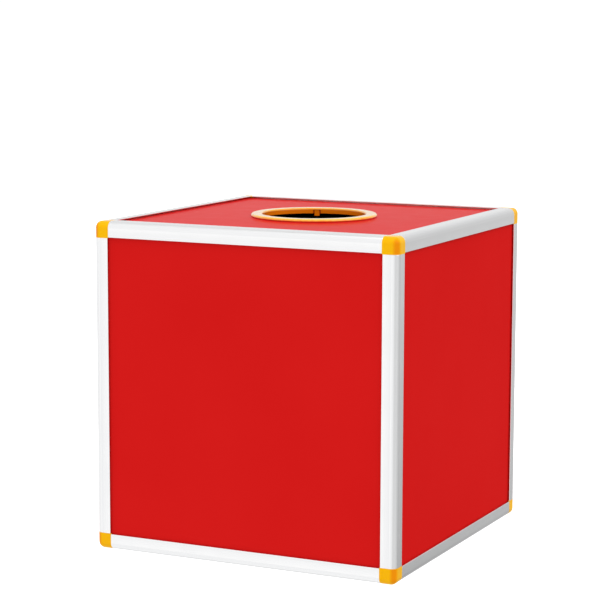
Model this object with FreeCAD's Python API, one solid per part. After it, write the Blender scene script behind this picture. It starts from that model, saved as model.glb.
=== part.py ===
import FreeCAD, Part
import math
import os

from FreeCAD import Matrix, Placement, Vector

# Raffle box: a closed cube of panels held by twelve edge rails and eight
# push-in corner blocks, with a snap-in ring round a hand hole in the top.
# All lengths are millimetres. The origin is on the floor below the centre,
# x runs to the right, y to the back and z up. The front faces -y.

# Outside size over the rails. The ring stands a little above the height.
box_width = 296.0
box_depth = 296.0
box_height = 300.0

# Edge rail. Its section is a hollow core in the box's edge, with an outer and
# an inner lip on each of its two sides that hold one panel between them.
edge_radius = 6.0
core_flat = 3.0
core_wall = 1.2
core_chords = 2
lip_thickness = 1.2
lip_reach = 5.4
inner_lip_thickness = 1.0
inner_lip_reach = 4.4
lip_edge_radius = 0.4

# Panel. It seats on the inner lips, and a gap is left behind the outer lips.
panel_thickness = 3.0
panel_edge_gap = 0.5
shadow_gap = 1.0

# Corner block. Its face is a little wider than the rails' faces, and three
# pegs with crush ribs on their inner sides push into the rails' hollow cores.
block_margin = 0.6
peg_length = 30.0
peg_gap = 0.25
peg_chamfer = 1.2
rib_count = 1
rib_width = 1.0
rib_gap = 0.05

# Hand hole ring. A domed flange lies on the top panel, a collar lines the hole
# and stops short of the panel's underside, and barbed snap fingers hook under it.
hand_radius = 48.0
collar_wall = 2.0
collar_gap = 0.3
collar_rise = 0.5
flange_width = 10.4
flange_height = 2.9
flange_plate = 1.8
flange_skirt = 1.6
flange_outer_radius = 2.0
flange_inner_radius = 1.5
round_chords = 3
finger_count = 4
finger_turn = 22.0
finger_width = 4.8
finger_drop = 2.1
finger_setback = 0.4
slit_width = 1.1
barb_reach = 0.8
barb_gap = 0.15

# Sizes that follow from the ones above.
groove_width = panel_thickness + shadow_gap
inner_lip_back = lip_thickness + groove_width + inner_lip_thickness
core_size = max(edge_radius + core_flat, inner_lip_back)
rail_face = core_size + lip_reach
block_size = rail_face + block_margin
panel_inset = lip_thickness + shadow_gap
panel_margin = core_size + panel_edge_gap
collar_radius = hand_radius + collar_wall
hole_radius = collar_radius + collar_gap
flange_radius = hand_radius + flange_width
box_size = (box_width, box_depth, box_height)


def rounded_outline(corners, chords=0):
    """Closed wire in the XY plane through corners given as (x, y, radius).

    The roundings are arcs, or this many chords each if a number is given.
    """
    count = len(corners)
    points = [Vector(x, y, 0) for x, y, _ in corners]
    turns = []
    for i in range(count):
        point = points[i]
        radius = corners[i][2]
        back = (points[i - 1] - point).normalize()
        ahead = (points[(i + 1) % count] - point).normalize()
        half = back.getAngle(ahead) / 2
        if radius <= 0:
            turns.append((point, point, point))
            continue
        reach = radius / math.tan(half)
        middle = (back + ahead).normalize()
        apex = point + middle * (radius / math.sin(half) - radius)
        turns.append((point + back * reach, apex, point + ahead * reach))
    edges = []
    for i in range(count):
        start, apex, end = turns[i]
        if corners[i][2] > 0:
            arc = Part.Arc(start, apex, end).toShape()
            edges += Part.makePolygon(arc.discretize(chords + 1)).Edges if chords else [arc]
        following = turns[(i + 1) % count][0]
        if end.distanceToPoint(following) > 1e-6:
            edges.append(Part.LineSegment(end, following).toShape())
    return Part.Wire(edges)


def frame_at(point, u, v, w):
    """Placement that turns a piece's own X, Y and Z to u, v and w at a point."""
    return Placement(Matrix(
        u.x, v.x, w.x, point.x,
        u.y, v.y, w.y, point.y,
        u.z, v.z, w.z, point.z,
        0, 0, 0, 1))


def axis_step(axis, sign):
    """Unit step along one box axis (0, 1 or 2), forward or backward."""
    step = [0, 0, 0]
    step[axis] = sign
    return Vector(*step)


def seat_in_corner(piece, signs, run):
    """Copy of a piece at the box corner with these signs, its Z along an axis.

    The piece is drawn from the box's outer corner inward and looks the same
    with its X and Y swapped, so it fits left-handed corners as well.
    """
    u = axis_step((run + 1) % 3, -signs[(run + 1) % 3])
    v = axis_step((run + 2) % 3, -signs[(run + 2) % 3])
    w = axis_step(run, -signs[run])
    if u.cross(v).dot(w) < 0:
        u, v = v, u
    corner = Vector(signs[0] * box_width / 2, signs[1] * box_depth / 2, (signs[2] + 1) * box_height / 2)
    seated = piece.copy()
    seated.Placement = frame_at(corner, u, v, w)
    return seated


def rail_section():
    """Section of the edge rail, with the box's edge at the origin."""
    lip_end = rail_face
    lip_back = lip_thickness
    inner_end = core_size + inner_lip_reach
    inner_front = lip_thickness + groove_width
    half_side = [
        (lip_end, 0, lip_edge_radius),
        (lip_end, lip_back, 0),
        (core_size, lip_back, 0),
        (core_size, inner_front, 0),
        (inner_end, inner_front, 0),
        (inner_end, inner_lip_back, 0),
        (core_size, inner_lip_back, 0),
    ]
    other_side = [(y, x, radius) for x, y, radius in reversed(half_side)]
    outer = rounded_outline([(0, 0, edge_radius)] + half_side + [(core_size, core_size, 0)] + other_side)
    return Part.Face([outer, core_cavity(0)])


def core_cavity(inset):
    """Outline of the rail's hollow core, drawn in by an inset.

    Flats follow the rail's rounded edge, and the other corners are square.
    """
    low = core_wall + inset
    high = core_size - core_wall - inset
    radius = min(edge_radius - low, 0.9 * (high - low))
    return rounded_outline([(low, low, radius), (high, low, 0), (high, high, 0), (low, high, 0)], core_chords)


def make_rail(length):
    """Rail between two corner blocks along Z, for a box side of this length."""
    section = rail_section()
    section.translate(Vector(0, 0, block_size))
    return section.extrude(Vector(0, 0, length - 2 * block_size))


def make_peg():
    """Peg of a corner block along Z, chamfered at its tip and ribbed inside."""
    low = core_wall + peg_gap
    high = core_size - core_wall - peg_gap
    side = high - low
    bar = Part.makeBox(side, side, peg_length, Vector(low, low, block_size))
    tip_height = block_size + peg_length - peg_chamfer / 2
    tip_edges = [edge for edge in bar.Edges if edge.CenterOfMass.z > tip_height]
    prism = Part.Face(core_cavity(peg_gap)).extrude(Vector(0, 0, block_size + peg_length))
    stem = bar.makeChamfer(peg_chamfer, tip_edges).common(prism)

    ribs = []
    rib_height = peg_gap - rib_gap
    straight = peg_length - peg_chamfer
    for i in range(rib_count):
        along = low + side * (i + 1) / (rib_count + 1) - rib_width / 2
        ribs.append(Part.makeBox(rib_height, rib_width, straight, Vector(high, along, block_size)))
        ribs.append(Part.makeBox(rib_width, rib_height, straight, Vector(along, high, block_size)))
    return stem.fuse(ribs)


def make_corner_block():
    """Corner block drawn from the box's corner inward, the same on all axes."""
    block = Part.makeBox(block_size, block_size, block_size)
    outer_edges = [edge for edge in block.Edges if edge.CenterOfMass.Length < 0.6 * block_size]
    block = block.makeFillet(edge_radius, outer_edges)

    # One slot per side takes a panel's corner, in line with the rails' grooves.
    # The inside corner is cut back level with the rails' cores.
    reach = block_size - core_size
    slot = Part.makeBox(reach, reach, groove_width, Vector(core_size, core_size, lip_thickness))
    inside = Part.makeBox(reach, reach, reach, Vector(core_size, core_size, core_size))
    block = block.cut([inside] + three_ways(slot))
    return block.fuse(three_ways(make_peg())).removeSplitter()


def three_ways(piece):
    """The piece and its two copies turned about the cube's diagonal."""
    copies = []
    for turn in (0, 120, 240):
        copy = piece.copy()
        copy.rotate(Vector(0, 0, 0), Vector(1, 1, 1), turn)
        copies.append(copy)
    return copies


def make_panel(normal, sign):
    """Panel of one box side, whose outward normal is an axis and a sign."""
    across = (normal + 1) % 3
    along = (normal + 2) % 3
    if sign > 0:
        across, along = along, across
    width = box_size[across] - 2 * panel_margin
    height = box_size[along] - 2 * panel_margin
    sheet = Part.makeBox(width, height, panel_thickness, Vector(-width / 2, -height / 2, 0))
    centre = Vector(0, 0, box_height / 2) + axis_step(normal, sign) * (box_size[normal] / 2 - panel_inset)
    sheet.Placement = frame_at(centre, axis_step(across, 1), axis_step(along, 1), axis_step(normal, -sign))
    return sheet


def revolved(corners):
    """Solid of revolution about Z from corners given as (r, z, radius)."""
    section = Part.Face(rounded_outline(corners, round_chords))
    section.rotate(Vector(0, 0, 0), Vector(1, 0, 0), 90)
    return section.revolve(Vector(0, 0, 0), Vector(0, 0, 1), 360)


def radial_bar(width, low, high, turn):
    """Bar across the collar's wall, centred on a direction turned from +Y."""
    inner = hand_radius - collar_wall
    outer = hole_radius + barb_reach + collar_gap
    bar = Part.makeBox(width, outer - inner, high - low, Vector(-width / 2, inner, low))
    bar.rotate(Vector(0, 0, 0), Vector(0, 0, 1), turn)
    return bar


def make_ring():
    """Hand hole ring, drawn with z = 0 on the outer face of the top panel."""
    plate_under = flange_height - flange_plate
    skirt_radius = flange_radius - flange_skirt
    collar_end = -panel_thickness + collar_rise
    finger_end = collar_end - finger_drop
    catch = -panel_thickness - barb_gap
    barb_radius = hole_radius + barb_reach

    body = revolved([
        (hand_radius, collar_end, 0),
        (collar_radius, collar_end, 0),
        (collar_radius, plate_under, 0),
        (skirt_radius, plate_under, 0),
        (skirt_radius, 0, 0),
        (flange_radius, 0, 0),
        (flange_radius, flange_height, flange_outer_radius),
        (hand_radius, flange_height, flange_inner_radius),
    ])
    finger_ring = revolved([
        (hand_radius + finger_setback, finger_end, 0),
        (collar_radius, finger_end, 0),
        (barb_radius, catch - barb_reach, 0),
        (barb_radius, catch, 0),
        (collar_radius, catch, 0),
        (collar_radius, plate_under, 0),
        (hand_radius + finger_setback, plate_under, 0),
    ])
    windows = []
    fingers = []
    for i in range(finger_count):
        turn = finger_turn + 360.0 * i / finger_count
        windows.append(radial_bar(finger_width + 2 * slit_width, finger_end, plate_under, turn))
        fingers.append(finger_ring.common(radial_bar(finger_width, finger_end, plate_under, turn)))
    ring = body.cut(windows).fuse(fingers).removeSplitter()
    ring.translate(Vector(0, 0, box_height - panel_inset))
    return ring


nodes = {}

# Rails are named by where they run, and each starts at its low end.
sides = {"left": (0, -1), "right": (0, 1), "front": (1, -1), "back": (1, 1)}
for level, height_sign in (("bottom", -1), ("top", 1)):
    for side, (normal, sign) in sides.items():
        run = 1 - normal
        signs = [-1, -1, height_sign]
        signs[normal] = sign
        nodes["rail_" + level + "_" + side] = seat_in_corner(make_rail(box_size[run]), signs, run)

corner_block = make_corner_block()
for depth_name, depth_sign in (("front", -1), ("back", 1)):
    for width_name, width_sign in (("left", -1), ("right", 1)):
        place = depth_name + "_" + width_name
        post = make_rail(box_height)
        nodes["post_" + place] = seat_in_corner(post, (width_sign, depth_sign, -1), 2)
        for level, height_sign in (("bottom", -1), ("top", 1)):
            signs = (width_sign, depth_sign, height_sign)
            nodes["corner_" + level + "_" + place] = seat_in_corner(corner_block, signs, 2)

for side, (normal, sign) in sides.items():
    nodes["panel_" + side] = make_panel(normal, sign)
nodes["panel_bottom"] = make_panel(2, -1)
top_hole = Part.makeCylinder(hole_radius, box_height, Vector(0, 0, box_height / 2))
nodes["panel_top"] = make_panel(2, 1).cut(top_hole)
nodes["hand_hole_ring"] = make_ring()

os.makedirs("parts", exist_ok=True)
for name, shape in nodes.items():
    shape.exportStep("parts/" + name + ".step")
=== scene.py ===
"""Looks of a raffle box: edge rails, corner blocks, boards and the hand hole ring.

The box's own frame is used throughout: x to the right, y to the back, z up, and
the origin on the floor below its middle. Lengths in the classes are millimetres,
and every mesh is turned into metres as it is placed.
"""

import logging
import math
from dataclasses import dataclass, field
from enum import Enum

import bpy
import numpy as np
from mathutils import Matrix, Vector
from numpy.typing import NDArray


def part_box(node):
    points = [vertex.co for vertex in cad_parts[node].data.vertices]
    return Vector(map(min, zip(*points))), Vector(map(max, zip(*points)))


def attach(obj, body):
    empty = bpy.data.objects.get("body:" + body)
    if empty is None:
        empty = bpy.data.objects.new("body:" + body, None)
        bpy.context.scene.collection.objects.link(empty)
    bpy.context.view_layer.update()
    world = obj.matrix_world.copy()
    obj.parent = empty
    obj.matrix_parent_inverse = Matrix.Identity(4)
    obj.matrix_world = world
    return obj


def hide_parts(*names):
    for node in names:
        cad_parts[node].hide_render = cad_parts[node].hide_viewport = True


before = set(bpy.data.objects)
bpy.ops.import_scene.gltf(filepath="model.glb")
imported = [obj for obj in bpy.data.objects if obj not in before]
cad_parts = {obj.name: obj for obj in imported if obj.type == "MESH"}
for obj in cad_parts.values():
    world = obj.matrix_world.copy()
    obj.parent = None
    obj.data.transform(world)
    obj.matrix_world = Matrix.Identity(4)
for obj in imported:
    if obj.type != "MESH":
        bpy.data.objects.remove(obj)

Points = NDArray[np.float64]
Faces = list[list[int]]
Colour = tuple[float, float, float, float]

MM = 0.001
WELD_STEPS = 1e4
LOG = logging.getLogger("raffle_box")


class Axis(Enum):
    """Direction that a strip of the box runs in."""

    X = 0
    Y = 1
    Z = 2


# Surfaces


def unit(vectors: Points) -> Points:
    """Vectors divided by their lengths.

    Args:
        vectors: Any array whose last axis holds the components.

    Returns:
        An array of the same shape with lengths of one.
    """
    return vectors / np.linalg.norm(vectors, axis=-1, keepdims=True)


def rounded_corners(corners: Points, before: Points, after: Points, steps: int, hold: float) -> Points:
    """Arcs in the corners of an outline.

    Each corner (x, y, r) becomes an arc of radius r that touches both of its
    sides. The arc's points swing evenly from its first touching point to its
    last: centre + (sin((1 - t) w) s + sin(t w) e) / sin(w), where s and e point
    from the centre to the touching points and w is the angle between them. One
    more point is held on each side at a short distance from the arc, so that
    smooth shading stays flat between the corners.

    Args:
        corners: One row (x, y, radius) for each corner.
        before: Place of the point before each corner.
        after: Place of the point after each corner.
        steps: Chords in each arc.
        hold: Distance from an arc to the held points beside it.

    Returns:
        Points in order, (steps + 3) for each corner.
    """
    place, radius = corners[:, :2], corners[:, 2:]
    back, ahead = unit(before - place), unit(after - place)
    half = np.arccos(np.sum(back * ahead, axis=1, keepdims=True)) / 2
    reach = radius / np.tan(half)
    centre = place + unit(back + ahead) * radius / np.sin(half)
    start = (place + back * reach - centre)[:, None]
    end = (place + ahead * reach - centre)[:, None]
    sweep = (np.pi - 2 * half)[:, None]
    t = np.linspace(0, 1, steps + 1)[None, :, None]
    arc = centre[:, None] + (np.sin((1 - t) * sweep) * start + np.sin(t * sweep) * end) / np.sin(sweep)
    first = (place + back * (reach + hold))[:, None]
    last = (place + ahead * (reach + hold))[:, None]
    return np.concatenate([first, arc, last], axis=1).reshape(-1, 2)


def rounded_loop(corners: Points, steps: int, hold: float) -> Points:
    """Closed outline with rounded corners, from half-way round its first arc.

    Args:
        corners: One row (x, y, radius) for each corner, anticlockwise.
        steps: Chords in each arc, an even number.
        hold: Distance from an arc to the held points beside it.

    Returns:
        The outline's points, anticlockwise.
    """
    place = corners[:, :2]
    before, after = np.roll(place, 1, axis=0), np.roll(place, -1, axis=0)
    return np.roll(rounded_corners(corners, before, after, steps, hold), -(steps // 2 + 1), axis=0)


def rounded_path(corners: Points, steps: int, hold: float) -> Points:
    """Open outline with rounded corners between its first and its last point.

    Args:
        corners: Rows (x, y, radius). The first and the last row stay points.
        steps: Chords in each arc.
        hold: Distance from an arc to the held points beside it.

    Returns:
        The outline's points.
    """
    place = corners[:, :2]
    bends = rounded_corners(corners[1:-1], place[:-2], place[2:], steps, hold)
    return np.concatenate([place[:1], bends, place[-1:]])


def loop_normals(loop: Points) -> Points:
    """Outward directions of an anticlockwise loop: each chord across a point, turned right.

    Args:
        loop: Points (x, y) in order.

    Returns:
        One direction of length one for each point.
    """
    chord = np.roll(loop, -1, axis=0) - np.roll(loop, 1, axis=0)
    return unit(np.stack([chord[:, 1], -chord[:, 0]], axis=1))


@dataclass
class Shell:
    """A closed surface, gathered from patches whose edges meet point on point."""

    points: list[Points] = field(default_factory=list)
    faces: Faces = field(default_factory=list)
    marks: list[Points] = field(default_factory=list)
    count: int = 0

    def _take(self, points: Points, *marks: Points | float) -> int:
        """Store points and the marks on each, and return the first one's number."""
        first = self.count
        flat = points.reshape(-1, 3)
        self.points.append(flat)
        spread = [np.broadcast_to(mark, points.shape[:-1]).reshape(-1) for mark in marks]
        self.marks.append(np.stack(spread, axis=1))
        self.count += len(flat)
        return first

    def grid(self, points: Points, close: bool = False, wear: Points | float = 0.0,
             edge: Points | float = 0.0) -> None:
        """Add a two-parameter patch: rows of points, four to each face.

        A face looks towards (along a row) x (from row to row).

        Args:
            points: Array of rows x columns x 3.
            close: Whether each row closes on itself.
            wear: How rubbed each point is, from 0 to 1.
            edge: Painted shade at each point, from 0 to 1 near the middle of a rounding, and past 1 for a
                painted shadow.
        """
        rows, columns = points.shape[:2]
        number = self._take(points, wear, edge) + np.arange(rows * columns).reshape(rows, columns)
        if close:
            number = np.concatenate([number, number[:, :1]], axis=1)
        quads = np.stack([number[:-1, :-1], number[:-1, 1:], number[1:, 1:], number[1:, :-1]], axis=-1)
        self.faces += quads.reshape(-1, 4).tolist()

    def polygon(self, points: Points) -> None:
        """Add one flat face through points that run anticlockwise as seen from outside."""
        first = self._take(points, 0.0, 0.0)
        self.faces.append(list(range(first, first + len(points))))

    def pierced(self, rim: Points, hole: Points) -> None:
        """Add a flat face with a hole in it, as two halves.

        Both loops run anticlockwise as seen from outside and have an even number
        of points. The cuts join their first points, and their opposite ones.

        Args:
            rim: Outer loop, n x 3.
            hole: Inner loop, m x 3.
        """
        middle, centre = len(rim) // 2, len(hole) // 2
        closed = np.concatenate([rim, rim[:1]])
        ring = np.concatenate([hole, hole[:1]])
        self.polygon(np.concatenate([closed[: middle + 1], ring[centre::-1]]))
        self.polygon(np.concatenate([closed[middle:], ring[:centre - 1:-1]]))

    def build(self, name: str, place: Points, turn: Points, crease: float = 40.0) -> bpy.types.Object:
        """Weld the patches, place them in the box's frame and make an object.

        Points closer than a ten-thousandth of a millimetre become one. A point
        p goes to place + p turn, with the faces reversed if turn is a mirror.

        Args:
            name: Name of the object.
            place: Where the shell's own zero goes, in millimetres.
            turn: Rows are where the shell's own x, y and z point.
            crease: Angle in degrees from which an edge is shaded sharp.

        Returns:
            The new object, at the origin, with its place in its mesh.
        """
        points = np.concatenate(self.points)
        keys = np.round(points * WELD_STEPS).astype(np.int64)
        _, first, welded = np.unique(keys, axis=0, return_index=True, return_inverse=True)
        welded = welded.reshape(-1)
        step = -1 if np.linalg.det(turn) < 0 else 1
        faces = [welded[face][::step].tolist() for face in self.faces]
        placed = (place + points[first] @ turn) * MM
        mesh = bpy.data.meshes.new(name)
        mesh.from_pydata(placed.tolist(), [], faces)
        mesh.polygons.foreach_set("use_smooth", np.ones(len(faces), bool))
        marks = np.concatenate(self.marks)[first].astype(np.float32)
        # The edge mark is painted shade, deepening each point's colour.
        for mark, values in zip(("wear", "edge"), marks.T):
            mesh.attributes.new(mark, "FLOAT", "POINT").data.foreach_set("value", values.copy())
        mesh.validate()
        mesh.update()
        mesh.set_sharp_from_angle(angle=math.radians(crease))
        made = bpy.data.objects.new(name, mesh)
        bpy.context.scene.collection.objects.link(made)
        return made


def settle(piece: bpy.types.Object, node: str, finish: bpy.types.Material) -> None:
    """Dress a piece and let it stand for its node of the frame.

    Args:
        piece: Object with its place in its mesh.
        node: Node that it replaces.
        finish: Material that it wears.
    """
    piece.data.materials.append(finish)
    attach(piece, "root")
    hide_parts(node)
    LOG.info("%s: %d faces", piece.name, len(piece.data.polygons))


def node_box(node: str) -> tuple[Points, Points]:
    """Lowest and highest corner of a node of the frame, in millimetres."""
    low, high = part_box(node)
    return np.array(low) / MM, np.array(high) / MM


# Finishes


class Paint:
    """A material's node graph, with its surface shader at hand."""

    def __init__(self, name: str) -> None:
        """Start a material with a surface shader and nothing linked to it.

        Args:
            name: Name of the material.
        """
        self.material = bpy.data.materials.new(name)
        self.material.use_nodes = True
        self.tree = self.material.node_tree
        self.shader = self.tree.nodes["Principled BSDF"]

    def node(self, kind: str, **values: object) -> bpy.types.Node:
        """Add a node and set its own options and the values of its sockets.

        Args:
            kind: Type of the node, without the words that all of them start with.
            **values: Options by name, or socket values by socket name with
                spaces as underscores.

        Returns:
            The new node.
        """
        made = self.tree.nodes.new("ShaderNode" + kind)
        sockets = {s.name.replace(" ", "_"): s for s in reversed(made.inputs)}
        for name, value in values.items():
            if name in sockets:
                sockets[name].default_value = value
            else:
                setattr(made, name, value)
        return made

    def link(self, source: bpy.types.NodeSocket, target: bpy.types.NodeSocket) -> None:
        """Join an output to an input."""
        self.tree.links.new(source, target)

    def place(self, scale: tuple[float, float, float] = (1, 1, 1)) -> bpy.types.NodeSocket:
        """Position on the object, stretched by a scale for each axis."""
        where = self.node("TexCoord").outputs["Object"]
        mapping = self.node("Mapping", Scale=scale)
        self.link(where, mapping.inputs["Vector"])
        return mapping.outputs["Vector"]

    def noise(self, where: bpy.types.NodeSocket, scale: float, detail: float = 3.0) -> bpy.types.NodeSocket:
        """Cloudy values from 0 to 1 with a given number of lumps to the metre."""
        made = self.node("TexNoise", Scale=scale, Detail=detail)
        self.link(where, made.inputs["Vector"])
        return made.outputs["Fac"]

    def spread(self, value: bpy.types.NodeSocket, low: float, high: float,
               start: float = 0.3, stop: float = 0.7) -> bpy.types.NodeSocket:
        """Values from start to stop spread over the range from low to high.

        Args:
            value: What is spread.
            low: Result at start and below it.
            high: Result at stop and above it.
            start: First end of the incoming range.
            stop: Last end of the incoming range.

        Returns:
            The output with the result.
        """
        made = self.node("MapRange", From_Min=start, From_Max=stop, To_Min=low, To_Max=high)
        self.link(value, made.inputs["Value"])
        return made.outputs["Result"]

    def blend(self, share: bpy.types.NodeSocket, first: Colour | bpy.types.NodeSocket,
              second: Colour | bpy.types.NodeSocket) -> bpy.types.NodeSocket:
        """Mix two colours.

        Args:
            share: How much of the second colour shows, from 0 to 1.
            first: Colour, or an output that gives one.
            second: Colour, or an output that gives one.

        Returns:
            The output with the mixed colour.
        """
        made = self.node("Mix", data_type="RGBA")
        self.link(share, made.inputs["Factor"])
        for socket, colour in ((made.inputs[6], first), (made.inputs[7], second)):
            if isinstance(colour, tuple):
                socket.default_value = colour
            else:
                self.link(colour, socket)
        return made.outputs[2]

    def maths(self, operation: str, *values: bpy.types.NodeSocket | float) -> bpy.types.NodeSocket:
        """Result of one arithmetic step on outputs and numbers."""
        made = self.node("Math", operation=operation)
        for socket, value in zip(made.inputs, values):
            if isinstance(value, (int, float)):
                socket.default_value = value
            else:
                self.link(value, socket)
        return made.outputs["Value"]

    def weighed(self, first: bpy.types.NodeSocket, second: bpy.types.NodeSocket,
                share: float) -> bpy.types.NodeSocket:
        """Sum of a share of the first value and the rest of the second."""
        return self.maths("ADD", self.maths("MULTIPLY", first, share),
                          self.maths("MULTIPLY", second, 1 - share))

    def emboss(self, height: bpy.types.NodeSocket, depth: float) -> None:
        """Raise the surface by a height from 0 to 1 times a depth in metres."""
        bump = self.node("Bump", Distance=depth)
        self.link(height, bump.inputs["Height"])
        self.link(bump.outputs["Normal"], self.shader.inputs["Normal"])

    def set(self, **values: object) -> None:
        """Set constants on the shader's own sockets."""
        for name, value in values.items():
            self.shader.inputs[name.replace("_", " ")].default_value = value


@dataclass(frozen=True)
class AnodisedAluminium:
    """Satin anodised extrusion with fine die lines along its run.

    Scales are lumps to the metre, and shares run from 0 to 1.
    """

    along: Axis
    pale: Colour = (0.90, 0.905, 0.91, 1)
    dull: Colour = (0.865, 0.87, 0.88, 1)
    bright: Colour = (0.97, 0.97, 0.97, 1)
    smooth: float = 0.18
    rough: float = 0.28
    run_scale: float = 0.01
    streak_scale: float = 160.0
    cloud_scale: float = 35.0
    streak_share: float = 0.6
    least_rub: float = 0.3
    most_rub: float = 0.9
    line_pitch: float = 0.5
    line_depth: float = 0.004

    def make(self) -> bpy.types.Material:
        """Build the material.

        Returns:
            A material whose streaks run along the strip: noise that is
            stretched a hundredfold in the direction of the run.
        """
        paint = Paint("anodised_aluminium_" + self.along.name.lower())
        stretch = [1.0, 1.0, 1.0]
        stretch[self.along.value] = self.run_scale
        where = paint.place(tuple(stretch))
        streaks = paint.noise(where, self.streak_scale, detail=4.0)
        lines = paint.noise(where, 1 / (self.line_pitch * MM), detail=2.0)
        clouds = paint.noise(paint.place(), self.cloud_scale, detail=2.0)
        body = paint.blend(paint.spread(streaks, 0, 1), self.pale, self.dull)
        worn = paint.node("Attribute", attribute_name="wear").outputs["Fac"]
        rub = paint.maths("MULTIPLY", worn, paint.spread(clouds, self.least_rub, self.most_rub))
        paint.link(paint.blend(rub, body, self.bright), paint.shader.inputs["Base Color"])
        mottle = paint.weighed(streaks, clouds, self.streak_share)
        paint.link(paint.spread(mottle, self.smooth, self.rough), paint.shader.inputs["Roughness"])
        paint.emboss(lines, self.line_depth * MM)
        paint.set(Metallic=1.0)
        return paint.material


@dataclass(frozen=True)
class LacqueredBoard:
    """Smooth coloured face, with a near-black inner side that is painted shade for the inside of the box.

    Scales are lumps to the metre. The skin line and the middle are millimetres
    from the box's middle and from the floor.
    """

    face: Colour = (0.650, 0.0114, 0.0106, 1)
    deep: Colour = (0.630, 0.0100, 0.0094, 1)
    # Near-black on the box's inner side: painted shade for the closed box's inside.
    core: Colour = (0.012, 0.006, 0.005, 1)
    skin_line: float = 145.3
    middle: float = 150.0
    smooth: float = 0.38
    rough: float = 0.5
    cloud_scale: float = 9.0
    grain_scale: float = 900.0
    peel_scale: float = 420.0
    scuff_scale: float = 60.0
    scuff_stretch: tuple[float, float, float] = (1, 1, 0.15)
    grain_share: float = 0.35
    sheen_start: float = 0.35
    sheen_stop: float = 0.65
    ripple: float = 0.004
    base_gloss: float = 0.0007
    coat_index: float = 1.016
    coat_roughness: float = 0.14

    def make(self) -> bpy.types.Material:
        """Build the material.

        Returns:
            A material that is coloured where the largest distance from the
            box's middle, along any axis, is beyond the skin line, and near-black
            behind it, as painted shade for the box's inside.
        """
        paint = Paint("lacquered_board")
        where = paint.place()
        cloud = paint.noise(where, self.cloud_scale, detail=3.0)
        grain = paint.noise(where, self.grain_scale, detail=2.0)
        peel = paint.noise(where, self.peel_scale, detail=1.0)
        scuff = paint.noise(paint.place(self.scuff_stretch), self.scuff_scale, detail=6.0)
        tone = paint.blend(paint.spread(cloud, 0, 1), self.face, self.deep)
        split = paint.node("SeparateXYZ")
        paint.link(where, split.inputs["Vector"])
        lifted = paint.maths("SUBTRACT", split.outputs["Z"], self.middle * MM)
        flat = paint.maths("MAXIMUM", paint.maths("ABSOLUTE", split.outputs["X"]),
                           paint.maths("ABSOLUTE", split.outputs["Y"]))
        far = paint.maths("MAXIMUM", flat, paint.maths("ABSOLUTE", lifted))
        skin = paint.maths("GREATER_THAN", far, self.skin_line * MM)
        # Behind the skin line the colour is near-black painted shade.
        paint.link(paint.blend(skin, self.core, tone), paint.shader.inputs["Base Color"])
        sheen = paint.weighed(grain, scuff, self.grain_share)
        roughness = paint.spread(sheen, self.smooth, self.rough, self.sheen_start, self.sheen_stop)
        paint.link(roughness, paint.shader.inputs["Roughness"])
        paint.emboss(peel, self.ripple * MM)
        paint.set(Specular_IOR_Level=self.base_gloss, Coat_Weight=1.0, Coat_IOR=self.coat_index,
                  Coat_Roughness=self.coat_roughness)
        return paint.material


@dataclass(frozen=True)
class MouldedPlastic:
    """Glossy injection-moulded plastic, whose colour deepens where the edge attribute paints shade.

    Scales are lumps to the metre, and shares run from 0 to 1.
    """

    name: str
    body: Colour = (0.93, 0.495, 0.001, 1)
    deep: Colour = (0.90, 0.44, 0.001, 1)
    # Deeper orange painted on roundings and walls: painted shade.
    edge: Colour = (0.80, 0.25, 0.001, 1)
    # Dark red painted at the ring's foot: a painted contact shadow.
    foot: Colour = (0.40, 0.018, 0.001, 1)
    rubbed: Colour = (0.96, 0.60, 0.05, 1)
    gloss: float = 0.04
    coat_index: float = 1.1
    coat_roughness: float = 0.05
    smooth: float = 0.14
    rough: float = 0.26
    flow_scale: float = 45.0
    peel_scale: float = 700.0
    haze_scale: float = 220.0
    painted_shade_share: float = 0.95
    painted_shade_start: float = 0.1
    painted_shade_stop: float = 0.9
    painted_shadow_start: float = 1.0
    painted_shadow_stop: float = 1.6
    least_rub: float = 0.1
    most_rub: float = 0.7
    texture: float = 0.003

    def make(self) -> bpy.types.Material:
        """Build the material.

        Returns:
            A material with slow flow marks in its colour, a faint orange peel,
            painted shade that deepens the colour on roundings, a painted dark shadow
            at the foot where the edge attribute passes 1, and rubbed, paler rims.
        """
        paint = Paint(self.name)
        where = paint.place()
        flow = paint.noise(where, self.flow_scale, detail=3.0)
        peel = paint.noise(where, self.peel_scale, detail=2.0)
        haze = paint.noise(where, self.haze_scale, detail=4.0)
        tone = paint.blend(paint.spread(flow, 0, 1), self.body, self.deep)
        # The edge attribute paints shade: the colour deepens towards the edge colour.
        rounding = paint.node("Attribute", attribute_name="edge").outputs["Fac"]
        share = paint.spread(rounding, 0, self.painted_shade_share, self.painted_shade_start, self.painted_shade_stop)
        tone = paint.blend(share, tone, self.edge)
        # Where the edge attribute passes 1: a painted contact shadow at the foot.
        tone = paint.blend(paint.spread(rounding, 0, 1, self.painted_shadow_start, self.painted_shadow_stop), tone, self.foot)
        worn = paint.node("Attribute", attribute_name="wear").outputs["Fac"]
        rub = paint.maths("MULTIPLY", worn, paint.spread(haze, self.least_rub, self.most_rub))
        paint.link(paint.blend(rub, tone, self.rubbed), paint.shader.inputs["Base Color"])
        paint.link(paint.spread(haze, self.smooth, self.rough), paint.shader.inputs["Roughness"])
        paint.emboss(peel, self.texture * MM)
        paint.set(Specular_IOR_Level=self.gloss, Coat_Weight=1.0, Coat_IOR=self.coat_index,
                  Coat_Roughness=self.coat_roughness)
        return paint.material


# Sub-assemblies


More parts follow.
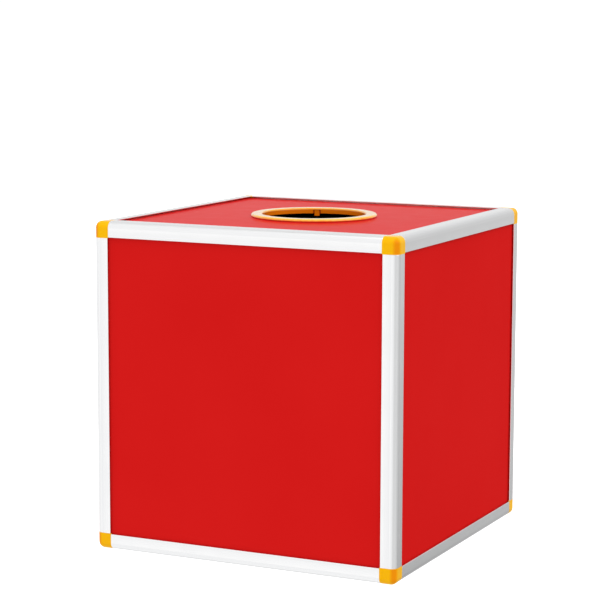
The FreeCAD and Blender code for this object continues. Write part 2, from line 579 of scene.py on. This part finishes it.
@dataclass
class RailFrame:
    """Twelve edge rails, each one section carried straight along its edge."""

    edge_radius: float = 6.0
    wall: float = 1.2
    core: float = 9.0
    lip: float = 1.2
    groove_back: float = 5.2
    inner_lip_back: float = 6.2
    face: float = 14.4
    inner_face: float = 13.4
    lip_round: float = 0.4
    corner_round: float = 0.2
    end_round: float = 0.15
    end_steps: int = 3
    end_hold: float = 0.45
    steps: int = 8
    hold: float = 0.1

    def section(self) -> tuple[Points, Points]:
        """Outlines of the rail across its run, from the box's edge inward.

        Returns:
            The outer outline and the hollow core's, both anticlockwise. They
            are alike on both sides of the diagonal from the box's edge.
        """
        r = self.corner_round
        side = [
            (self.face, 0, self.lip_round),
            (self.face, self.lip, self.lip_round),
            (self.core, self.lip, r),
            (self.core, self.groove_back, r),
            (self.inner_face, self.groove_back, r),
            (self.inner_face, self.inner_lip_back, r),
            (self.core, self.inner_lip_back, r),
        ]
        other = [(y, x, radius) for x, y, radius in reversed(side)]
        corners = [(0, 0, self.edge_radius), *side, (self.core, self.core, r), *other]
        low, high = self.wall, self.core - self.wall
        hollow = [(low, low, self.edge_radius - low), (high, low, r), (high, high, r), (low, high, r)]
        return (rounded_loop(np.array(corners, float), self.steps, self.hold),
                rounded_loop(np.array(hollow, float), self.steps, self.hold))

    def shell(self, length: float) -> Shell:
        """One rail from 0 to its length along its own z.

        Both outlines are carried along z. At the ends the outer one is drawn in
        along a quarter circle: by r (1 - sin a) at r (1 - cos a) from the end.

        Args:
            length: Length of the rail.

        Returns:
            The closed surface of the rail.
        """
        outer, hollow = self.section()
        angle = np.linspace(0, np.pi / 2, self.end_steps + 1)
        depth = np.append(self.end_round * (1 - np.cos(angle)), self.end_hold)
        inset = np.append(self.end_round * (1 - np.sin(angle)), 0.0)
        depth = np.concatenate([depth, length - depth[::-1]])
        inset = np.concatenate([inset, inset[::-1]])
        rows = outer[None] - inset[:, None, None] * loop_normals(outer)[None]
        rows = np.concatenate([rows, np.broadcast_to(depth[:, None, None], rows.shape[:2] + (1,))], axis=2)
        bend = np.linalg.norm(np.roll(outer, -1, axis=0) - outer, axis=1)
        wear = np.broadcast_to((bend < self.lip_round)[None], rows.shape[:2]).astype(float)
        made = Shell()
        made.grid(rows, close=True, wear=wear)
        inward = np.roll(hollow[::-1], 1, axis=0)
        near = np.column_stack([inward, np.zeros(len(inward))])
        far = near + (0, 0, length)
        made.grid(np.stack([near, far]), close=True)
        made.pierced(np.roll(rows[0][::-1], 1, axis=0), near)
        made.pierced(rows[-1], np.roll(far[::-1], 1, axis=0))
        return made

    def dress(self, box_low: Points, box_high: Points) -> None:
        """Build every rail in its edge of the box.

        Args:
            box_low: Lowest corner of the whole box.
            box_high: Highest corner of the whole box, over the rails.
        """
        finishes = {axis: AnodisedAluminium(axis).make() for axis in Axis}
        middle = (box_low + box_high) / 2
        for node in sorted(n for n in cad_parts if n.startswith(("rail_", "post_"))):
            low, high = node_box(node)
            run = int(np.argmax(high - low))
            outward = np.where((low + high) / 2 > middle, 1.0, -1.0)
            place = np.where(outward > 0, high, low)
            place[run] = low[run]
            turn = np.zeros((3, 3))
            for row, axis in enumerate([(run + 1) % 3, (run + 2) % 3]):
                turn[row, axis] = -outward[axis]
            turn[2, run] = 1.0
            piece = self.shell(float(high[run] - low[run])).build(node + "_strip", place, turn)
            settle(piece, node, finishes[Axis(run)])


@dataclass
class CornerBlocks:
    """Eight corner blocks, each with three pegs, alike along all three axes."""

    finish: MouldedPlastic = MouldedPlastic("corner_plastic")
    size: float = 15.0
    core: float = 9.0
    edge_radius: float = 6.0
    lip: float = 1.2
    slot_back: float = 5.2
    peg_low: float = 1.45
    peg_high: float = 7.55
    peg_round: float = 0.3
    peg_round_share: float = 0.86
    peg_hold: float = 0.05
    peg_length: float = 30.0
    peg_chamfer: float = 1.2
    soft_edge: float = 0.25
    soft_segments: int = 3
    soft_angle: float = 40.0
    crease: float = 180.0
    steps: int = 8
    hold: float = 0.3
    worn_strip: float = 0.6

    def lines(self) -> Points:
        """Where the skin's grid lines cross an axis, from the outer corner inward.

        Returns:
            Distances R (1 - tan a) for even angles a from 45 degrees to 0, then
            the flat part's lines.
        """
        angle = np.linspace(np.pi / 4, 0, self.steps + 1)
        flat = [self.edge_radius + self.hold, self.size - self.worn_strip, self.size]
        return np.append(self.edge_radius * (1 - np.tan(angle)), flat)

    def skin(self) -> tuple[Points, Points]:
        """Outer face of the block on its own z side, with its share of the rounding.

        A point q of the flat face is moved to c + R (q - c) / |q - c|, where c is
        q brought to at least R from each of the three sides.

        Returns:
            The grid of points, and how worn each of them is.
        """
        a, b = np.meshgrid(self.lines(), self.lines(), indexing="ij")
        flat = np.stack([a, b, np.zeros_like(a)], axis=-1)
        inner = np.maximum(flat, self.edge_radius)
        worn = np.maximum(a, b) > self.size - self.worn_strip / 2
        return inner + self.edge_radius * unit(flat - inner), worn.astype(float)

    def upright_painted_shade(self, points: Points) -> Points:
        """Painted shade on the upright rounding, strongest at its middle: 2 n m.

        Args:
            points: Places on the skin, with z upright.

        Returns:
            Twice the product of the outward direction's two level parts.
        """
        lean = np.clip(1 - points[..., :2] / self.edge_radius, 0, 1)
        return 2 * lean[..., 0] * lean[..., 1]

    def end_outline(self) -> Points:
        """Outline of the block's face towards a rail, from the rounding's middle.

        Returns:
            Anticlockwise points that are alike on both sides of the diagonal.
        """
        r, s, c = self.edge_radius, self.size, self.core
        angle = np.pi / 4 + np.linspace(0, np.pi / 4, self.steps + 1)
        arc = np.stack([r - r * np.cos(angle), r - r * np.sin(angle)], axis=1)
        flat = [(x, 0) for x in self.lines()[self.steps + 1:]]
        notches = [(s, self.lip), (c, self.lip), (c, self.slot_back), (s, self.slot_back), (s, c)]
        half = np.concatenate([arc, flat, notches])
        return np.concatenate([half, [(c, c)], half[:0:-1, ::-1]])

    def peg_rows(self) -> Points:
        """Outline of a peg carried inward, drawn in at its tip.

        Returns:
            Rows of points from the block's face to the tip.
        """
        low, high = self.peg_low, self.peg_high
        tip = self.peg_chamfer
        rows = []
        for inset, along in ((0, 0), (0, self.peg_length - tip), (tip, self.peg_length)):
            near, far = low + inset, high - inset
            corner = min(self.edge_radius - near, self.peg_round_share * (far - near))
            outline = [(near, near, corner), (far, near, self.peg_round),
                       (far, far, self.peg_round), (near, far, self.peg_round)]
            loop = rounded_loop(np.array(outline), self.steps, self.peg_hold)
            rows.append(np.column_stack([loop, np.full(len(loop), self.size + along)]))
        return np.array(rows)

    def shell(self) -> Shell:
        """One block from its outer corner inward.

        One third of the surface is worked out, and the other two are the same
        points with their coordinates moved round.

        Returns:
            The closed surface of the block.
        """
        s, c, t, g = self.size, self.core, self.lip, self.slot_back
        skin, worn = self.skin()
        outline = self.end_outline()
        rim = np.column_stack([outline, np.full(len(outline), s)])
        pegs = self.peg_rows()
        square = np.array([(c, c), (s, c), (s, s), (c, s)], float)
        lip_back = np.column_stack([square, np.full(4, t)])
        slot_floor = np.column_stack([square, np.full(4, g)])[::-1]
        inside = np.column_stack([square, np.full(4, c)])
        wall = np.array([(c, c, t), (c, s, t), (c, s, g), (c, c, g)], float)
        other_wall = wall[::-1][:, [1, 0, 2]]
        made = Shell()
        for shift in range(3):
            turned = np.roll(skin, shift, axis=-1)
            # The upright roundings get painted shade.
            made.grid(turned, wear=worn, edge=self.upright_painted_shade(turned))
            made.pierced(np.roll(rim, shift, axis=-1), np.roll(pegs[0], shift, axis=-1))
            made.grid(np.roll(pegs, shift, axis=-1), close=True)
            made.polygon(np.roll(pegs[-1], shift, axis=-1))
            for face in (lip_back, slot_floor, inside, wall, other_wall):
                made.polygon(np.roll(face, shift, axis=-1))
        return made

    def dress(self, box_low: Points, box_high: Points) -> None:
        """Build every block in its corner of the box.

        Args:
            box_low: Lowest corner of the whole box.
            box_high: Highest corner of the whole box, over the rails.
        """
        finish = self.finish.make()
        middle = (box_low + box_high) / 2
        for node in sorted(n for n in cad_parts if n.startswith("corner_")):
            low, high = node_box(node)
            outward = np.where((low + high) / 2 > middle, 1.0, -1.0)
            place = np.where(outward > 0, high, low)
            piece = self.shell().build(node + "_block", place, np.diag(-outward), self.crease)
            soften = piece.modifiers.new("soft_edges", "BEVEL")
            soften.width = self.soft_edge * MM
            soften.segments = self.soft_segments
            soften.limit_method = "ANGLE"
            soften.angle_limit = math.radians(self.soft_angle)
            soften.harden_normals = True
            settle(piece, node, finish)


@dataclass
class HandRing:
    """Ring round the hand hole: a domed flange, and a collar with snap fingers."""

    # The ring's edge colour is the deep red-orange of its painted shade.
    finish: MouldedPlastic = MouldedPlastic(
        "ring_plastic", edge=(0.85, 0.10, 0.001, 1), gloss=0.2, coat_index=1.45)
    clear_radius: float = 48.0
    collar_radius: float = 50.0
    flange_radius: float = 58.4
    skirt_radius: float = 56.8
    barb_radius: float = 51.1
    finger_face: float = 48.4
    height: float = 2.9
    plate_under: float = 1.1
    collar_end: float = -2.5
    finger_end: float = -4.6
    catch: float = -3.15
    barb_foot: float = -3.95
    outer_round: float = 2.0
    inner_round: float = 1.5
    small_round: float = 0.3
    collar_round: float = 0.5
    finger_round: float = 0.12
    fingers: int = 4
    turn: float = 22.0
    finger_width: float = 4.8
    slit_width: float = 1.1
    steps: int = 8
    hold: float = 0.06
    slit_columns: int = 2
    finger_columns: int = 8
    collar_columns: int = 56
    # Painted shade down the hole's inner wall, in place of its shade and bounced light.
    wall_painted_shade: float = 0.75
    # Below this depth the skirt darkens, down to a painted contact shadow at its foot.
    skirt_pale: float = 0.6
    skirt_shadow_fade: float = 1.2
    foot_painted_shadow_most: float = 1.6

    def section(self, *corners: tuple[float, float, float]) -> Points:
        """Open radial section with rounded corners, as points (radius, height)."""
        return rounded_path(np.array(corners, float), self.steps, self.hold)

    def flange(self) -> Points:
        """Section of the flange, from the collar's inner wall up, out and back under."""
        r = self.small_round
        return self.section(
            (self.clear_radius, self.plate_under, 0),
            (self.clear_radius, self.height, self.inner_round),
            (self.flange_radius, self.height, self.outer_round),
            (self.flange_radius, 0, r),
            (self.skirt_radius, 0, r),
            (self.skirt_radius, self.plate_under, r),
            (self.collar_radius, self.plate_under, 0))

    def collar(self) -> Points:
        """Section of the collar, from under the flange down and up its inner wall."""
        return self.section(
            (self.collar_radius, self.plate_under, 0),
            (self.collar_radius, self.collar_end, self.collar_round),
            (self.clear_radius, self.collar_end, self.collar_round),
            (self.clear_radius, self.plate_under, 0))

    def finger(self) -> Points:
        """Section of a snap finger with its barb, set back from the clear hole."""
        r = self.finger_round
        return self.section(
            (self.collar_radius, self.plate_under, 0),
            (self.collar_radius, self.catch, r),
            (self.barb_radius, self.catch, r),
            (self.barb_radius, self.barb_foot, r),
            (self.collar_radius, self.finger_end, r),
            (self.finger_face, self.finger_end, r),
            (self.finger_face, self.plate_under, r),
            (self.clear_radius, self.plate_under, 0))

    def wall_and_foot_painted_shade(self, path: Points) -> Points:
        """Painted shade at each point of a section, fading in down both walls.

        Args:
            path: Points (radius, height).

        Returns:
            The hole's painted wall shade times its share of the inner rounding,
            from the top, and the skirt's depth below its rounding's first part, as a
            share that passes 1 for the painted shadow at the foot.
        """
        radius, depth = path[:, 0], self.height - path[:, 1]
        inside = radius < self.clear_radius + self.inner_round
        outside = radius > self.flange_radius - self.outer_round
        return (self.wall_painted_shade * inside * np.clip(depth / self.inner_round, 0, 1)
                + outside * np.clip((depth - self.skirt_pale) / self.skirt_shadow_fade, 0, self.foot_painted_shadow_most))

    def swept(self, path: Points, angles: Points) -> Points:
        """A section carried round the axis: (r cos a, r sin a, h) for each angle a."""
        radius, height = path[None, :, 0], path[None, :, 1]
        a = angles[:, None]
        return np.stack([radius * np.cos(a), radius * np.sin(a), height + 0 * a], axis=-1)

    def shell(self) -> Shell:
        """The whole ring with z = 0 on the top board.

        Round the circle, each quarter has a finger between two slits, and then
        a stretch of collar. The flange's columns are the stretches' columns, so
        that all edges meet.

        Returns:
            The closed surface of the ring.
        """
        middle_radius = (self.clear_radius + self.collar_radius) / 2
        half_finger = self.finger_width / 2 / middle_radius
        half_window = half_finger + self.slit_width / middle_radius
        quarter = 2 * math.pi / self.fingers
        slit = self.section(
            (self.collar_radius, self.plate_under, 0),
            (self.clear_radius, self.plate_under, 0))
        made = Shell()
        columns = []
        for i in range(self.fingers):
            middle = math.pi / 2 + math.radians(self.turn) + i * quarter
            stretches = (
                (slit, -half_window, -half_finger, self.slit_columns, False),
                (self.finger(), -half_finger, half_finger, self.finger_columns, True),
                (slit, half_finger, half_window, self.slit_columns, False),
                (self.collar(), half_window, quarter - half_window, self.collar_columns, True),
            )
            for path, start, stop, count, solid in stretches:
                angles = middle + np.linspace(start, stop, count + 1)
                patch = self.swept(path, angles)
                # Painted shade down the walls, and a painted shadow at the foot.
                made.grid(patch, edge=self.wall_and_foot_painted_shade(path))
                columns.append(angles[:-1])
                if solid:
                    made.polygon(patch[-1])
                    made.polygon(patch[0, ::-1])
        columns = np.concatenate(columns)
        path = self.flange()
        rim = (path[:, 0] > self.flange_radius - self.outer_round) & (path[:, 1] > self.plate_under)
        around = np.append(columns, columns[0] + 2 * math.pi)
        # Painted shade down the walls, and a painted shadow at the foot.
        made.grid(self.swept(path, around), wear=rim.astype(float), edge=self.wall_and_foot_painted_shade(path))
        return made

    def dress(self) -> None:
        """Build the ring round the middle of its node, on the top board."""
        node = "hand_hole_ring"
        low, high = node_box(node)
        place = (low + high) / 2
        place[2] = high[2] - self.height
        piece = self.shell().build(node + "_moulding", place, np.eye(3))
        settle(piece, node, self.finish.make())


@dataclass
class Boards:
    """Six boards of the box, which keep the shapes of their nodes."""

    finish: LacqueredBoard = LacqueredBoard()

    def dress(self) -> None:
        """Give every board its finish."""
        material = self.finish.make()
        for node in sorted(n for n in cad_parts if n.startswith("panel_")):
            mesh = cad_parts[node].data
            mesh.materials.clear()
            mesh.materials.append(material)
            LOG.info("%s: finish %s", node, material.name)


# Studio


@dataclass(frozen=True)
class Glow:
    """One soft lamp of the surroundings: a round patch of sky with a blurred rim."""

    compass: float
    height: float
    inner: float
    outer: float
    level: float

    def direction(self) -> tuple[float, float, float]:
        """Unit step towards the middle of the patch."""
        c, h = math.radians(self.compass), math.radians(self.height)
        return (math.cos(c) * math.cos(h), math.sin(c) * math.cos(h), math.sin(h))


@dataclass
class Studio:
    """White floor, soft light from all round, and the camera.

    The camera's angles are degrees and its place is metres. Each of the levels
    is a compass direction in degrees and the brightness of the surroundings there.
    """

    azimuth: float = 25.553
    elevation: float = 8.193
    roll: float = 0.187
    camera_place: tuple[float, float, float] = (0.8356, -1.7642, 0.4947)
    focal_pixels: float = 2117.7
    picture_width: int = 612
    sensor_width: float = 36.0
    floor_half: float = 30.0
    floor_drop: float = 0.0002
    floor_tone: Colour = (0.8, 0.8, 0.8, 1)
    floor_level: float = 1.05
    backdrop_level: float = 1.05
    levels: tuple[tuple[float, float], ...] = (
        (-180, 0.99), (-78, 1.02), (-52, 0.73), (-9, 0.73), (25, 0.58),
        (64, 0.59), (80, 0.68), (115, 0.85), (150, 0.84), (180, 0.99))
    glows: tuple[Glow, ...] = (
        Glow(compass=-5, height=38, inner=15, outer=44, level=1.4),
        Glow(compass=78, height=30, inner=10, outer=42, level=0.07),
        Glow(compass=60, height=-38, inner=5, outer=32, level=-0.4),
        Glow(compass=178, height=66, inner=5, outer=25, level=-0.1),
        Glow(compass=-90, height=82, inner=5, outer=26, level=1.7),
    )

    def camera(self) -> None:
        """Point the camera as the box is seen: turned round z, tilted, then rolled.

        The camera's own axes are right, up and back. With azimuth a and
        elevation e, back is (sin a cos e, -cos a cos e, sin e), right is level,
        and both right and up are turned by the roll about back.
        """
        a, e, roll = (math.radians(x) for x in (self.azimuth, self.elevation, self.roll))
        back = Vector((math.sin(a) * math.cos(e), -math.cos(a) * math.cos(e), math.sin(e)))
        right = Vector((math.cos(a), math.sin(a), 0))
        up = back.cross(right)
        across = math.cos(roll) * right + math.sin(roll) * up
        upward = math.cos(roll) * up - math.sin(roll) * right
        data = bpy.data.cameras.new("camera")
        data.sensor_width = self.sensor_width
        data.lens = self.focal_pixels / self.picture_width * self.sensor_width
        made = bpy.data.objects.new("camera", data)
        turn = Matrix((across, upward, back)).transposed().to_4x4()
        made.matrix_world = Matrix.Translation(self.camera_place) @ turn
        bpy.context.scene.collection.objects.link(made)
        bpy.context.scene.camera = made

    def floor(self) -> None:
        """Lay a wide white floor just under the box, which neither shades nor tints it."""
        h = self.floor_half
        z = -self.floor_drop
        mesh = bpy.data.meshes.new("floor")
        mesh.from_pydata([(-h, -h, z), (h, -h, z), (h, h, z), (-h, h, z)], [], [[0, 1, 2, 3]])
        made = bpy.data.objects.new("floor", mesh)
        bpy.context.scene.collection.objects.link(made)
        paint = Paint("floor")
        paint.set(Base_Color=self.floor_tone, Roughness=1.0, Specular_IOR_Level=0.0,
                  Emission_Color=(1, 1, 1, 1), Emission_Strength=self.floor_level)
        mesh.materials.append(paint.material)
        made.visible_diffuse = False
        made.visible_glossy = False
        made.visible_shadow = False

    def surroundings(self) -> None:
        """Light the box from all round.

        The brightness follows the compass direction through a ramp, and each
        glow adds its level inside its inner angle, and nothing outside its outer
        one. What the camera sees directly is plain white.
        """
        world = bpy.data.worlds.new("studio")
        world.use_nodes = True
        tree = world.node_tree
        tree.nodes.clear()
        link = tree.links.new

        def node(kind: str, **values: object) -> bpy.types.Node:
            """Add a node and set its options."""
            made = tree.nodes.new("ShaderNode" + kind)
            for name, value in values.items():
                setattr(made, name, value)
            return made

        where = node("TexCoord").outputs["Generated"]
        split = node("SeparateXYZ")
        compass = node("Math", operation="ARCTAN2")
        turn = node("MapRange")
        turn.inputs["From Min"].default_value = -math.pi
        turn.inputs["From Max"].default_value = math.pi
        ramp = node("ValToRGB")
        elements = ramp.color_ramp.elements
        elements.remove(elements[1])
        elements[0].position = 0.0
        elements[0].color = (self.levels[0][1],) * 3 + (1,)
        for degrees, level in self.levels[1:]:
            elements.new((degrees + 180) / 360).color = (level, level, level, 1)
        link(where, split.inputs["Vector"])
        link(split.outputs["Y"], compass.inputs[0])
        link(split.outputs["X"], compass.inputs[1])
        link(compass.outputs["Value"], turn.inputs["Value"])
        link(turn.outputs["Result"], ramp.inputs["Fac"])
        total = ramp.outputs["Color"]
        for glow in self.glows:
            facing = node("VectorMath", operation="DOT_PRODUCT")
            facing.inputs[1].default_value = glow.direction()
            fade = node("MapRange", interpolation_type="SMOOTHSTEP")
            fade.inputs["From Min"].default_value = math.cos(math.radians(glow.outer))
            fade.inputs["From Max"].default_value = math.cos(math.radians(glow.inner))
            fade.inputs["To Max"].default_value = glow.level
            added = node("Math", operation="ADD")
            link(where, facing.inputs[0])
            link(facing.outputs["Value"], fade.inputs["Value"])
            link(total, added.inputs[0])
            link(fade.outputs["Result"], added.inputs[1])
            total = added.outputs["Value"]
        lit, plain, ray, mix, out = (node(kind) for kind in (
            "Background", "Background", "LightPath", "MixShader", "OutputWorld"))
        plain.inputs["Color"].default_value = (1, 1, 1, 1)
        plain.inputs["Strength"].default_value = self.backdrop_level
        link(total, lit.inputs["Color"])
        link(ray.outputs["Is Camera Ray"], mix.inputs["Fac"])
        link(lit.outputs["Background"], mix.inputs[1])
        link(plain.outputs["Background"], mix.inputs[2])
        link(mix.outputs["Shader"], out.inputs["Surface"])
        bpy.context.scene.world = world

    def set_up(self) -> None:
        """Place the camera, the floor and the lights."""
        self.camera()
        self.floor()
        self.surroundings()
        bpy.context.scene.view_settings.view_transform = "Standard"


def main() -> None:
    """Dress the box and set up the studio round it."""
    logging.basicConfig(level=logging.INFO, format="%(name)s: %(message)s")
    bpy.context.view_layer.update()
    corners = [node_box(n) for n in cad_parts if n.startswith("corner_")]
    box_low = np.min([low for low, _ in corners], axis=0)
    box_high = np.max([high for _, high in corners], axis=0)
    RailFrame().dress(box_low, box_high)
    CornerBlocks().dress(box_low, box_high)
    HandRing().dress()
    Boards().dress()
    Studio().set_up()
    bpy.context.view_layer.update()


if __name__ == "__main__":
    main()
